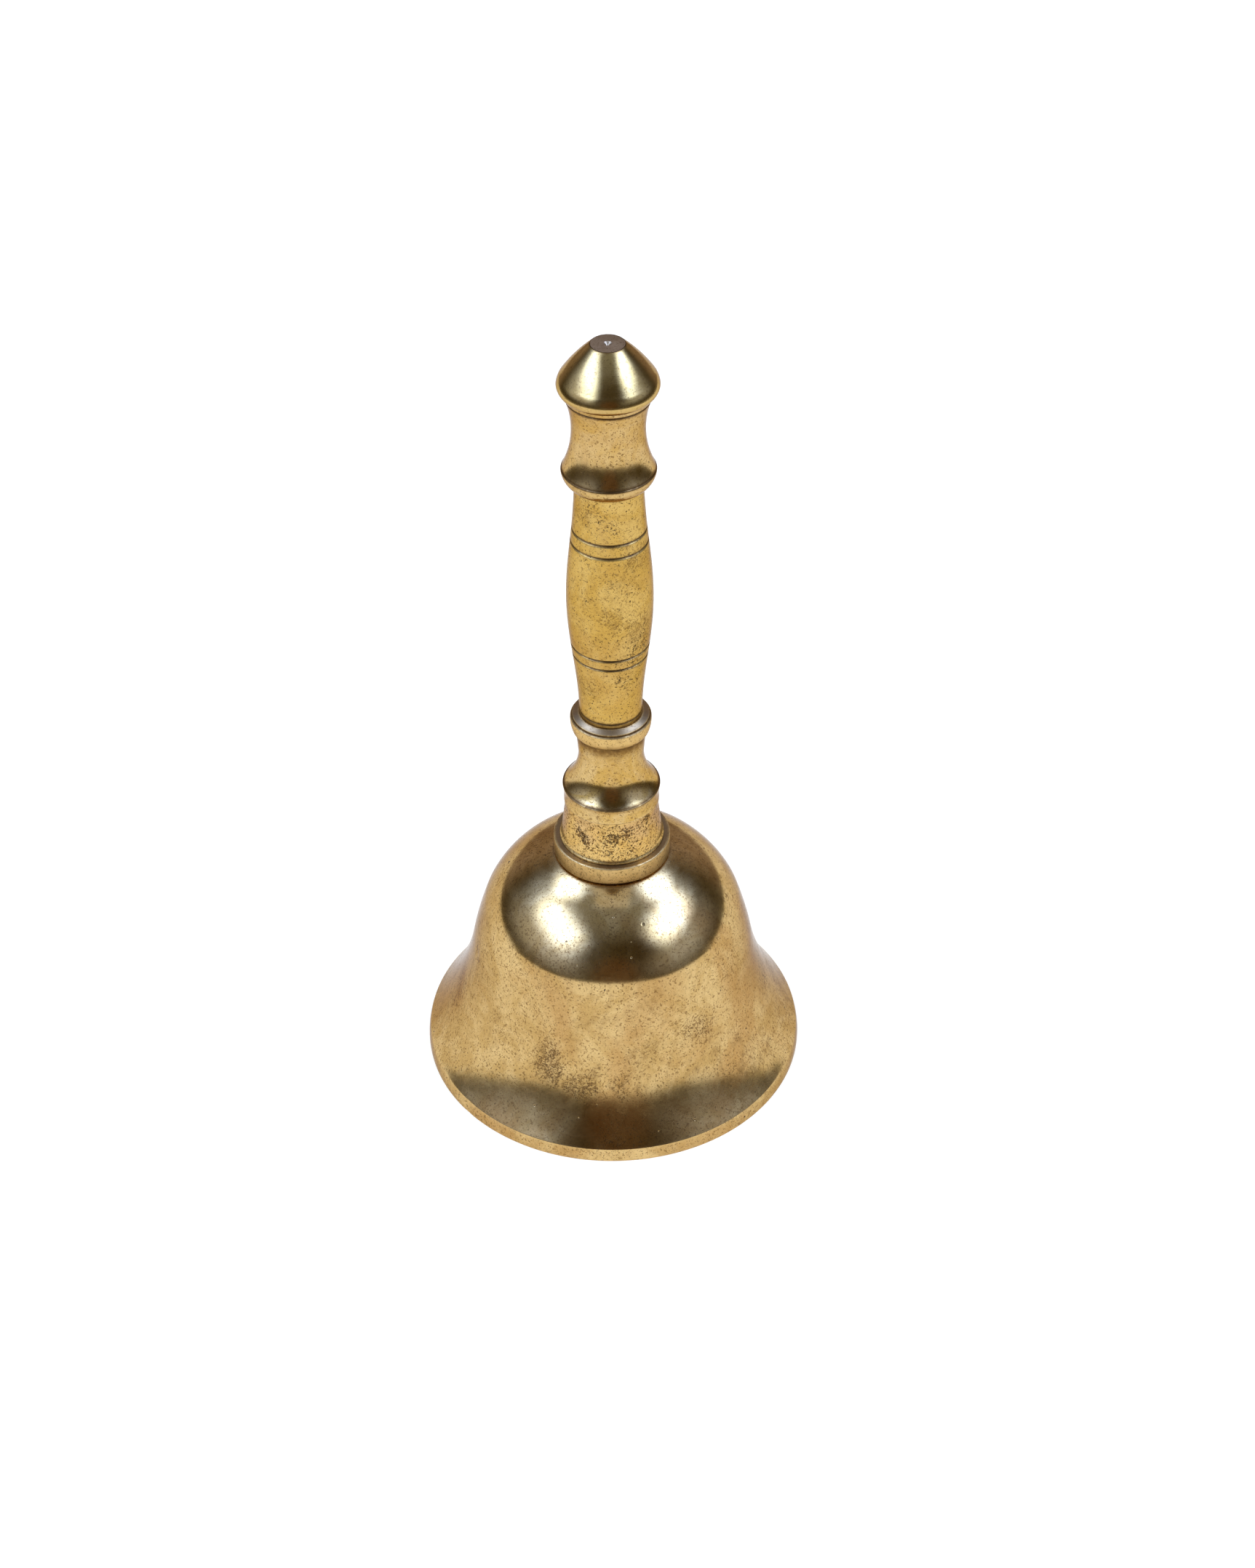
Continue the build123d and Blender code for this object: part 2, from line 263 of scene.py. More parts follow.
class Graph:
    """A material's node graph, with short calls for the nodes used here."""

    def __init__(self, name):
        self.material = bpy.data.materials.new(name)
        self.material.use_nodes = True
        self.tree = self.material.node_tree
        self.tree.nodes.clear()
        self.place = self.new("ShaderNodeTexCoord").outputs["Object"]

    def new(self, kind, **settings):
        node = self.tree.nodes.new(kind)
        for key, value in settings.items():
            setattr(node, key, value)
        return node

    def put(self, socket, value):
        if isinstance(value, bpy.types.NodeSocket):
            self.tree.links.new(value, socket)
        else:
            socket.default_value = value

    def math(self, operation, *values, clamp=False):
        node = self.new("ShaderNodeMath", operation=operation, use_clamp=clamp)
        for socket, value in zip(node.inputs, values):
            self.put(socket, value)
        return node.outputs[0]

    def scaled(self, vector, scale):
        node = self.new("ShaderNodeVectorMath", operation="MULTIPLY")
        self.put(node.inputs[0], vector)
        node.inputs[1].default_value = scale
        return node.outputs[0]

    def noise(self, vector, scale, detail=3.0, roughness=0.55, distortion=0.0):
        node = self.new("ShaderNodeTexNoise")
        self.put(node.inputs["Vector"], vector)
        node.inputs["Scale"].default_value = scale
        node.inputs["Detail"].default_value = detail
        node.inputs["Roughness"].default_value = roughness
        node.inputs["Distortion"].default_value = distortion
        return node.outputs["Fac"]

    def spots(self, vector, scale, size, share):
        """Round spots of that size, in cells of 1 / scale, in a share of the cells."""
        node = self.new("ShaderNodeTexVoronoi")
        self.put(node.inputs["Vector"], vector)
        node.inputs["Scale"].default_value = scale
        chosen = self.new("ShaderNodeSeparateColor")
        self.put(chosen.inputs[0], node.outputs["Color"])
        near = self.ramp(node.outputs["Distance"], size * scale, size * scale * 0.45)
        return self.math("MULTIPLY", near, self.math("LESS_THAN", chosen.outputs[0], share))

    def ramp(self, value, low, high, to_low=0.0, to_high=1.0):
        node = self.new("ShaderNodeMapRange", interpolation_type="SMOOTHSTEP")
        self.put(node.inputs["Value"], value)
        if low > high:
            low, high, to_low, to_high = high, low, to_high, to_low
        node.inputs["From Min"].default_value = low
        node.inputs["From Max"].default_value = high
        node.inputs["To Min"].default_value = to_low
        node.inputs["To Max"].default_value = to_high
        return node.outputs["Result"]

    def mix(self, share, a, b):
        node = self.new("ShaderNodeMix", data_type="RGBA")
        self.put(node.inputs[0], share)
        for socket, value in ((node.inputs[6], a), (node.inputs[7], b)):
            self.put(socket, (*value, 1) if isinstance(value, tuple) else value)
        return node.outputs[2]

    def attribute(self, name):
        return self.new("ShaderNodeAttribute", attribute_name=name).outputs["Fac"]

    def rings(self):
        """(radius, 0, height) of the point, which is the same all the way round a turned piece."""
        split = self.new("ShaderNodeSeparateXYZ")
        self.put(split.inputs[0], self.place)
        radius = self.math("SQRT", self.math(
            "ADD", self.math("POWER", split.outputs[0], 2.0), self.math("POWER", split.outputs[1], 2.0)))
        join = self.new("ShaderNodeCombineXYZ")
        self.put(join.inputs[0], radius)
        self.put(join.inputs[2], split.outputs[2])
        return join.outputs[0]

    def bump(self, height, depth, under=None):
        node = self.new("ShaderNodeBump")
        node.inputs["Strength"].default_value = 1.0
        node.inputs["Distance"].default_value = depth
        self.put(node.inputs["Height"], height)
        if under is not None:
            self.put(node.inputs["Normal"], under)
        return node.outputs["Normal"]

    def finish(self, color, roughness, normal, coat=0.0, coat_roughness=0.2, tint=(1, 1, 1, 1)):
        shader = self.new("ShaderNodeBsdfPrincipled")
        self.put(shader.inputs["Base Color"], color)
        self.put(shader.inputs["Roughness"], roughness)
        self.put(shader.inputs["Normal"], normal)
        shader.inputs["Metallic"].default_value = 1.0
        shader.inputs["Specular Tint"].default_value = tint
        shader.inputs["Coat Weight"].default_value = coat
        shader.inputs["Coat Roughness"].default_value = coat_roughness
        output = self.new("ShaderNodeOutputMaterial")
        self.put(output.inputs["Surface"], shader.outputs["BSDF"])
        return self.material


GOLD = (0.52, 0.33, 0.115)
PALE_GOLD = (0.66, 0.455, 0.195)
MATTE_GOLD = (0.74, 0.50, 0.20)
ORANGE = (0.44, 0.235, 0.07)
ROSE = (0.60, 0.385, 0.20)
RAW = (0.27, 0.185, 0.10)
BROWN = (0.18, 0.085, 0.020)
BLACK_BROWN = (0.055, 0.028, 0.010)
RUST = (0.17, 0.09, 0.05)
EDGE_TINT = (0.54, 0.46, 0.42, 1.0)


def surface_point(node, azimuth, height):
    """The point of a turned node's outer surface at an azimuth from the front in degrees and a height."""
    outline = outline_of(node)
    near = outline[np.argsort(np.abs(outline[:, 1] - height))[:6]]
    radius = near[:, 0].max()
    a = math.radians(azimuth)
    return Vector((radius * math.sin(a), -radius * math.cos(a), height))


def marked(g, marks, place):
    """The strongest of some round marks at each place, each fading out to its edge."""
    total = None
    for node, azimuth, height, radius, strength in marks:
        gap = g.new("ShaderNodeVectorMath", operation="DISTANCE")
        g.put(gap.inputs[0], place)
        gap.inputs[1].default_value = surface_point(node, azimuth, height)
        near = g.ramp(gap.outputs["Value"], radius, radius * 0.35, 0.0, strength)
        total = near if total is None else g.math("MAXIMUM", total, near)
    return total


BRASS_LOOK = dict(gold=GOLD, pale=PALE_GOLD, orange=ORANGE, polish=0.2, speckle=0.5, peppered=0.0, pits=0.3,
                  lines=0.5, stains=0.4, mottle=0.6, coat=0.15, stained=(), pitted=(), dotted=(), blush=())


def wobbled(g, reach):
    """The place, moved about by a noise of that reach, for ragged edges."""
    shift = g.new("ShaderNodeTexNoise")
    g.put(shift.inputs["Vector"], g.place)
    shift.inputs["Scale"].default_value = 170
    shift.inputs["Detail"].default_value = 4
    centred = g.new("ShaderNodeVectorMath", operation="SUBTRACT")
    g.put(centred.inputs[0], shift.outputs["Color"])
    centred.inputs[1].default_value = (0.5, 0.5, 0.5)
    moved = g.new("ShaderNodeVectorMath", operation="MULTIPLY_ADD")
    g.put(moved.inputs[0], centred.outputs[0])
    moved.inputs[1].default_value = (reach, reach, reach)
    g.put(moved.inputs[2], g.place)
    return moved.outputs[0]


def brass_masks(g, look, wobble):
    """Where the brass is cloudy, specked, pitted, stained, dirty with painted shade in hollows and seams,
    worn or raw. Noise scales are per metre.
    """
    m = SimpleNamespace()
    m.cloud = g.noise(g.place, scale=120, detail=6, roughness=0.68, distortion=0.8)
    m.patch = g.noise(g.scaled(g.place, (1, 1, 0.7)), scale=34, detail=5, roughness=0.62, distortion=1.2)
    m.fine = g.noise(g.place, scale=2300, detail=2, roughness=0.6)
    finer = g.noise(g.place, scale=4600, detail=2, roughness=0.6)
    pale_grain = g.noise(g.place, scale=3700, detail=2, roughness=0.6)
    m.grain = g.noise(g.place, scale=950, detail=3, roughness=0.65)
    cluster = g.ramp(g.noise(g.place, scale=105, detail=5, roughness=0.7, distortion=0.6), 0.40, 0.68)
    ring_place = g.rings()
    m.line = g.noise(ring_place, scale=2600, detail=3, roughness=0.7)
    broad_line = g.noise(ring_place, scale=450, detail=2, roughness=0.6)
    broken = g.ramp(g.noise(g.place, scale=150, detail=3, roughness=0.6), 0.35, 0.7)
    m.broad_line = g.math("MULTIPLY", broad_line, broken)

    zone = marked(g, look.stained, wobble) if look.stained else 0.0
    density = g.math("ADD", g.math("MULTIPLY", cluster, 0.055 * look.speckle), g.math("MULTIPLY", zone, 0.15))
    density = g.math("ADD", density, look.peppered)
    m.speck = g.ramp(g.math("ADD", m.fine, density), 0.58, 0.66)
    m.dark_speck = g.ramp(g.math("ADD", finer, g.math("MULTIPLY", density, 0.9)), 0.64, 0.70)
    m.light_speck = g.math("MULTIPLY", g.ramp(pale_grain, 0.60, 0.70), 0.6 * look.speckle)
    small_pits = g.spots(g.place, scale=620, size=0.20 * MM, share=0.20 * look.pits)
    large_pits = g.spots(g.place, scale=210, size=0.30 * MM, share=0.12 * look.pits)
    m.pit = g.math("MAXIMUM", small_pits, large_pits)
    if look.pitted:
        dense = marked(g, look.pitted, wobble)
        coarse = g.noise(g.place, scale=2200, detail=3, roughness=0.7)
        eaten = g.math("ADD", coarse, g.math("MULTIPLY", dense, 0.13))
        m.pit = g.math("MAXIMUM", m.pit, g.math("MULTIPLY", 0.85, g.ramp(eaten, 0.62, 0.67)))
        brown = g.math("ADD", m.fine, g.math("MULTIPLY", dense, 0.20))
        m.speck = g.math("MAXIMUM", m.speck, g.ramp(brown, 0.60, 0.68))
    if look.dotted:
        m.pit = g.math("MAXIMUM", m.pit, marked(g, look.dotted, g.place))
    blotch = g.noise(g.place, scale=60, detail=6, roughness=0.72, distortion=1.2)
    stain = g.math("MULTIPLY", g.ramp(blotch, 0.52, 0.72), look.stains)
    stain = g.math("MAXIMUM", stain, g.math("MULTIPLY", zone, 0.75))
    m.stain = g.math("MULTIPLY", stain, g.ramp(m.grain, 0.38, 0.60, 0.3, 1.0))
    # dirt and painted shade in hollows and at seams, broken up by the grain
    m.grime = g.math("MULTIPLY", g.attribute("grime"), g.ramp(m.grain, 0.2, 0.6, 0.6, 1.0))
    m.wear, m.raw, m.matte = (g.attribute(label) for label in ("wear", "raw", "matte"))
    return m


def brass_color(g, look, m, wobble):
    """Cloudy gold, under its marks from the broadest to the darkest, with dirt and painted shade at hollows
    and seams last.
    """
    color = g.mix(g.ramp(m.cloud, 0.36, 0.62), look.gold, look.pale)
    color = g.mix(g.math("MULTIPLY", m.matte, 0.7), color, MATTE_GOLD)
    color = g.mix(g.math("MULTIPLY", g.ramp(m.patch, 0.44, 0.64), look.mottle), color, look.orange)
    if look.blush:
        color = g.mix(marked(g, look.blush, wobble), color, ROSE)
    color = g.mix(g.math("MULTIPLY", g.ramp(m.grain, 0.45, 0.72), 0.3 * look.speckle), color, BROWN)
    color = g.mix(g.math("MULTIPLY", m.stain, 0.7), color, BROWN)
    color = g.mix(m.light_speck, color, look.pale)
    color = g.mix(g.math("MULTIPLY", m.speck, 0.8 * look.speckle), color, BROWN)
    color = g.mix(g.math("MULTIPLY", m.dark_speck, 0.9 * look.speckle), color, BLACK_BROWN)
    color = g.mix(g.math("MULTIPLY", m.pit, 0.92), color, BLACK_BROWN)
    color = g.mix(g.math("MULTIPLY", m.wear, 0.3), color, look.pale)
    color = g.mix(g.math("MULTIPLY", m.raw, 0.85), color, RAW)
    # painted shade with dirt: hollows and seams darkened to brown, then black-brown
    color = g.mix(g.ramp(m.grime, 0.0, 0.55, 0.0, 0.85), color, BROWN)
    return g.mix(g.ramp(m.grime, 0.35, 0.95), color, BLACK_BROWN)


def brass_roughness(g, look, m):
    """How dull the brass is: its polish, and what each mark adds."""
    rough = g.math("ADD", look.polish, g.math("MULTIPLY", g.ramp(m.cloud, 0.35, 0.7), 0.04))
    rough = g.math("ADD", rough, g.math("MULTIPLY", m.speck, 0.12 * look.speckle))
    rough = g.math("ADD", rough, g.math("MULTIPLY", m.stain, 0.15))
    rough = g.math("ADD", rough, g.math("MULTIPLY", m.pit, 0.3))
    rough = g.math("ADD", rough, g.math("MULTIPLY", g.math("MAXIMUM", m.raw, m.matte), 0.17))
    return g.math("ADD", rough, g.math("MULTIPLY", m.grime, 0.35), clamp=True)


def brass_normal(g, look, m):
    """Turning lines, grain and pits."""
    texture = g.math("MULTIPLY", m.line, look.lines * 0.6)
    for grain in (m.fine, m.grain):
        texture = g.math("ADD", texture, g.math("MULTIPLY", grain, 0.3 * look.speckle))
    normal = g.bump(texture, 0.007 * MM)
    normal = g.bump(m.broad_line, 0.005 * MM * (0.3 + look.lines), normal)
    return g.bump(g.math("SUBTRACT", 1.0, m.pit), 0.04 * MM, normal)


def brass(name, **changes):
    """Aged, semi-polished brass: BRASS_LOOK with changes.

    stained, pitted, dotted and blush list marks: brown stains, clusters of pits, single spots, pinkish areas.
    peppered is how many specks there are everywhere."""
    g = Graph(name)
    look = SimpleNamespace(**{**BRASS_LOOK, **changes})
    wobble = wobbled(g, reach=9 * MM)
    m = brass_masks(g, look, wobble)
    return g.finish(brass_color(g, look, m, wobble), brass_roughness(g, look, m), brass_normal(g, look, m),
                    coat=look.coat, coat_roughness=0.15, tint=EDGE_TINT)


def steel(name, tone, polish):
    """Dull drawn or turned steel with brown spots."""
    g = Graph(name)
    cloud = g.noise(g.place, 320, 4, 0.6)
    fine = g.noise(g.place, 4200, 2)
    rust = g.ramp(g.noise(g.place, 700, 5, 0.7, 0.5), 0.58, 0.72)
    color = g.mix(g.ramp(cloud, 0.35, 0.65), tone, tuple(0.6 * c for c in tone))
    color = g.mix(g.math("MULTIPLY", rust, 0.7), color, RUST)
    rough = g.math("ADD", polish, g.math("MULTIPLY", rust, 0.3))
    normal = g.bump(g.math("ADD", fine, cloud), 0.012 * MM)
    return g.finish(color, rough, normal)


WARM_WHITE = (0.90, 0.74, 0.45)
WARM_WHITE_CLOUD = (0.92, 0.76, 0.47)


def floor_white(name, glow, glow_share):
    """A plain pale floor, lit and faintly glowing, as a light table. It is clear from below."""
    g = Graph(name)
    tint = g.mix(g.ramp(g.noise(g.place, 6, 3), 0.3, 0.7), WARM_WHITE, WARM_WHITE_CLOUD)
    matte = g.new("ShaderNodeBsdfDiffuse")
    g.put(matte.inputs["Color"], tint)
    light = g.new("ShaderNodeEmission")
    light.inputs["Color"].default_value = (1, 1, 1, 1)
    light.inputs["Strength"].default_value = glow
    both = g.new("ShaderNodeMixShader")
    both.inputs[0].default_value = glow_share
    g.put(both.inputs[1], matte.outputs[0])
    g.put(both.inputs[2], light.outputs[0])
    from_below = g.new("ShaderNodeNewGeometry").outputs["Backfacing"]
    clear = g.new("ShaderNodeBsdfTransparent")
    sided = g.new("ShaderNodeMixShader")
    g.put(sided.inputs[0], from_below)
    g.put(sided.inputs[1], both.outputs[0])
    g.put(sided.inputs[2], clear.outputs[0])
    output = g.new("ShaderNodeOutputMaterial")
    g.put(output.inputs["Surface"], sided.outputs[0])
    return g.material


# marks: (node, azimuth from the front in degrees, height, radius, strength)
SHELL_STAINS = (
    ("bell_shell", -24, 15.5 * MM, 5.0 * MM, 0.75),
    ("bell_shell", -12, 13.6 * MM, 4.0 * MM, 0.6),
    ("bell_shell", 2, 12.5 * MM, 3.0 * MM, 0.35),
    ("bell_shell", 36, 20 * MM, 4.0 * MM, 0.45),
    ("bell_shell", -76, 24.8 * MM, 2.2 * MM, 0.7),
    ("bell_shell", -84, 14 * MM, 5.0 * MM, 0.5),
    ("bell_shell", 86, 15 * MM, 5.0 * MM, 0.4),
    ("bell_shell", 150, 20 * MM, 7.0 * MM, 0.6),
    ("bell_shell", -140, 30 * MM, 6.0 * MM, 0.5),
)
SHELL_SPOTS = (
    ("bell_shell", -41.5, 13.5 * MM, 0.75 * MM, 0.7),
    ("bell_shell", 41.7, 9.8 * MM, 0.55 * MM, 0.9),
    ("bell_shell", 47.9, 13.9 * MM, 0.35 * MM, 0.8),
    ("bell_shell", 43.3, 37.4 * MM, 0.40 * MM, 0.9),
    ("bell_shell", 25.6, 39.4 * MM, 0.45 * MM, 0.8),
    ("bell_shell", 22.5, 40.0 * MM, 0.38 * MM, 0.8),
    ("bell_shell", 18.1, 41.0 * MM, 0.42 * MM, 0.8),
    ("bell_shell", -46.8, 41.6 * MM, 0.30 * MM, 0.7),
    ("bell_shell", -24.4, 38.7 * MM, 0.30 * MM, 0.8),
    ("bell_shell", 7.3, 29.1 * MM, 0.35 * MM, 0.6),
    ("bell_shell", 78.7, 9.5 * MM, 0.50 * MM, 0.8),
    ("bell_shell", 121, 12 * MM, 0.60 * MM, 0.8),
    ("bell_shell", -128, 26 * MM, 0.50 * MM, 0.8),
    ("bell_shell", -171, 16 * MM, 0.60 * MM, 0.7),
)
FERRULE_PITS = (
    ("ferrule", -33, 54.0 * MM, 2.8 * MM, 0.9),
    ("ferrule", -20, 52.4 * MM, 2.0 * MM, 0.7),
    ("ferrule", 2, 53.4 * MM, 3.0 * MM, 0.75),
    ("ferrule", 22, 54.4 * MM, 3.0 * MM, 0.8),
    ("ferrule", 48, 56.3 * MM, 2.0 * MM, 0.9),
    ("ferrule", -8, 51.2 * MM, 2.6 * MM, 0.45),
    ("ferrule", 22, 51.6 * MM, 2.8 * MM, 0.5),
    ("ferrule", 118, 54.0 * MM, 3.0 * MM, 0.8),
    ("ferrule", -120, 53.0 * MM, 3.4 * MM, 0.8),
    ("ferrule", 178, 55.0 * MM, 2.8 * MM, 0.8),
)
FERRULE_BLUSH = (
    ("ferrule", -30, 55.6 * MM, 4.0 * MM, 0.45),
    ("ferrule", 30, 55.6 * MM, 4.0 * MM, 0.5),
    ("ferrule", 78, 54.6 * MM, 4.5 * MM, 0.9),
    ("ferrule", -82, 54.6 * MM, 4.5 * MM, 0.9),
    ("ferrule", 150, 55.0 * MM, 5.0 * MM, 0.6),
    ("ferrule", -150, 55.0 * MM, 5.0 * MM, 0.6),
)
HANDLE_SPOTS = (
    ("baluster", -9.0, 65.3 * MM, 0.50 * MM, 0.9),
    ("baluster", 24.0, 69.0 * MM, 0.35 * MM, 0.7),
    ("spool", -10.0, 137.0 * MM, 0.35 * MM, 0.8),
    ("spool", 20.0, 133.0 * MM, 0.30 * MM, 0.7),
)
GRIP_PITS = (
    ("grip_barrel", -30, 122.0 * MM, 3.0 * MM, 0.4),
    ("grip_barrel", -8, 119.0 * MM, 3.2 * MM, 0.4),
    ("grip_barrel", 44, 94.0 * MM, 6.0 * MM, 0.5),
    ("grip_barrel", 30, 87.0 * MM, 4.5 * MM, 0.45),
    ("grip_barrel", 150, 100.0 * MM, 6.0 * MM, 0.45),
)
GRIP_STAINS = (
    ("grip_barrel", -46, 119.0 * MM, 3.0 * MM, 0.35),
    ("grip_barrel", 40, 112.0 * MM, 4.5 * MM, 0.45),
    ("grip_barrel", 5, 101.0 * MM, 3.5 * MM, 0.45),
    ("grip_barrel", 2, 106.0 * MM, 9.0 * MM, 0.18),
    ("grip_barrel", -4, 97.0 * MM, 7.0 * MM, 0.15),
    ("grip_barrel", 48, 98.0 * MM, 5.0 * MM, 0.5),
    ("grip_barrel", -50, 84.0 * MM, 5.0 * MM, 0.4),
    ("grip_barrel", 170, 110.0 * MM, 6.0 * MM, 0.5),
)

MATERIALS = {
    "shell_brass": brass("shell_brass_skin", polish=0.13, speckle=0.75, peppered=0.008, pits=0.4, lines=0.3,
                         stains=0.7, mottle=0.65, stained=SHELL_STAINS, dotted=SHELL_SPOTS),
    "handle_brass": brass("handle_brass_skin", gold=(0.57, 0.345, 0.085), polish=0.14, speckle=0.7,
                          peppered=0.008, pits=0.5, lines=0.8, stains=0.4, mottle=0.4, coat=0.08,
                          dotted=HANDLE_SPOTS),
    "pitted_brass": brass("pitted_brass_skin", gold=(0.68, 0.41, 0.115), pale=(0.76, 0.50, 0.18), polish=0.26,
                          speckle=1.0, peppered=0.02, pits=0.6, lines=0.3, stains=0.3, mottle=0.4, coat=0.05,
                          pitted=FERRULE_PITS, blush=FERRULE_BLUSH),
    "grip_brass": brass("grip_brass_skin", gold=(0.555, 0.332, 0.070), pale=(0.65, 0.425, 0.125), polish=0.23,
                        speckle=0.6, peppered=-0.004, pits=0.45, lines=0.3, stains=0.3, mottle=0.45,
                        coat=0.06, pitted=GRIP_PITS, stained=GRIP_STAINS),
    "knob_brass": brass("knob_brass_skin", gold=(0.50, 0.33, 0.095), pale=(0.60, 0.41, 0.15), polish=0.15,
                        speckle=0.4, pits=0.15, lines=1.2, stains=0.2, mottle=0.3),
    "rod_brass": brass("rod_brass_skin", gold=(0.42, 0.31, 0.18), pale=(0.52, 0.40, 0.25),
                       orange=(0.34, 0.24, 0.14), polish=0.38, speckle=0.6, pits=0.4, lines=0.6, stains=0.4,
                       coat=0.0),
    "ball_brass": brass("ball_brass_skin", polish=0.3, speckle=0.7, pits=0.8, lines=0.8, stains=0.8),
    "fastener_steel": steel("fastener_steel_skin", tone=(0.42, 0.41, 0.39), polish=0.38),
    "wire_steel": steel("wire_steel_skin", tone=(0.36, 0.35, 0.33), polish=0.34),
}

# ---------------------------------------------------------------- pieces

# seams: dirt and painted shade at the foot, at the head, and how far it reaches
TURNED = {
    "bell_shell": dict(step=0.45 * MM, segments=448, edge_radius=0.10 * MM, wave=0.010 * MM,
                       seams=(0.1, 0.45, 0.6 * MM), unpolished=0.0),
    "base_collar": dict(step=0.3 * MM, segments=256, edge_radius=0.07 * MM, wave=0.002 * MM,
                        seams=(0.45, 0.3, 0.5 * MM), unpolished=1.0),
    "ferrule": dict(step=0.25 * MM, segments=256, edge_radius=0.07 * MM, wave=0.006 * MM,
                    seams=(0.45, 0.1, 0.5 * MM), unpolished=0.0),
    # painted shade: the baluster's head seam is a wide dark band standing for the shadow under the lower ring
    "baluster": dict(step=0.25 * MM, segments=256, edge_radius=0.06 * MM, wave=0.006 * MM,
                     seams=(0.0, 0.9, 4.2 * MM), unpolished=0.0),
    "lower_ring": dict(step=0.2 * MM, segments=256, edge_radius=0.04 * MM, wave=0.003 * MM,
                       seams=(0.4, 0.35, 0.35 * MM), unpolished=1.0),
    "grip_barrel": dict(step=0.3 * MM, segments=256, edge_radius=0.05 * MM, wave=0.008 * MM,
                        seams=(0.5, 0.35, 0.6 * MM), unpolished=0.0),
    "spool": dict(step=0.25 * MM, segments=256, edge_radius=0.05 * MM, wave=0.005 * MM,
                  seams=(0.4, 0.0, 0.6 * MM), unpolished=0.0),
    "finial_knob": dict(step=0.25 * MM, segments=256, edge_radius=0.08 * MM, wave=0.005 * MM,
                        seams=(0.0, 0.5, 0.4 * MM), unpolished=0.0),
    "crown_washer": dict(step=0.4 * MM, segments=128, edge_radius=0.08 * MM, wave=0.0,
                         seams=(0.5, 0.5, 0.6 * MM), unpolished=0.0),
    "clapper_ball": dict(step=0.3 * MM, segments=160, edge_radius=0.12 * MM, wave=0.010 * MM,
                         seams=(0.6, 0.6, 1.0 * MM), unpolished=0.3),
}
DENTS = {
    # node: (azimuth from the front in degrees, height, radius, depth)
    "bell_shell": (
        (-50.2, 1.2 * MM, 1.5 * MM, 0.22 * MM),
        (-44.0, 0.9 * MM, 0.9 * MM, 0.12 * MM),
        (64.0, 6.0 * MM, 3.2 * MM, 0.06 * MM),
        (-76.5, 24.8 * MM, 1.6 * MM, 0.08 * MM),
        (131.0, 18.0 * MM, 4.0 * MM, 0.08 * MM),
        (-152.0, 9.0 * MM, 2.4 * MM, 0.10 * MM),
        (170.0, 1.0 * MM, 1.6 * MM, 0.15 * MM),
    ),
    "grip_barrel": (
        (35.0, 92.0 * MM, 3.0 * MM, 0.04 * MM),
        (-160.0, 104.0 * MM, 3.0 * MM, 0.05 * MM),
    ),
}

for number, (node, settings) in enumerate(TURNED.items()):
    piece = turned_piece(node + "_turned", node, dents=DENTS.get(node, ()), seed=number, **settings)
    piece.data.materials.append(MATERIALS[RECORD_SLOTS[node]])

for node in ("tie_rod", "crown_nut", "clapper_link", "clapper_rod"):
    kept = frame["nodes"][node]
    for slot in kept.material_slots:
        slot.material = MATERIALS[RECORD_SLOTS[node]]

# ---------------------------------------------------------------- studio

low, high = cad_box
WHITE_GLOW = 1.50
GLOW_SHARE = 0.45


def add_floor(half_width, front, back, lip_start, lip_rise, lip_half_width):
    """A plain pale sheet under the bell, curling up a little in the middle of its front."""
    across = np.linspace(-half_width, half_width, 91)
    along = np.linspace(-front, back, 76)
    x, y = np.meshgrid(across, along)
    curl = np.clip((-lip_start - y) / (front - lip_start), 0, 1) ** 1.5
    z = lip_rise * curl * np.clip(1 - (x / lip_half_width) ** 2, 0, 1)
    grid = np.arange(x.size).reshape(x.shape)
    faces = np.stack([grid[:-1, :-1], grid[:-1, 1:], grid[1:, 1:], grid[1:, :-1]], axis=2).reshape(-1, 4)
    mesh = bpy.data.meshes.new("floor")
    mesh.from_pydata(np.stack([x, y, z], axis=2).reshape(-1, 3).tolist(), [], faces.tolist())
    mesh.polygons.foreach_set("use_smooth", np.ones(len(faces), bool))
    floor = bpy.data.objects.new("floor", mesh)
    bpy.context.scene.collection.objects.link(floor)
    floor.location.z = low.z
    mesh.materials.append(floor_white("floor_white", WHITE_GLOW, GLOW_SHARE))


LAMP_TINT = (0.82, 1.15, 2.15)  # cool lamps over a warm white table
LOW_TINT = (0.75, 0.92, 1.42)
FRONT_ROOM = (0.075, 0.065, 0.04)
BACK_ROOM = (0.38, 0.32, 0.31)
CEILING = (0.23, 0.29, 0.42)
RED_GLOW = (0.045, 0.010, 0.0)


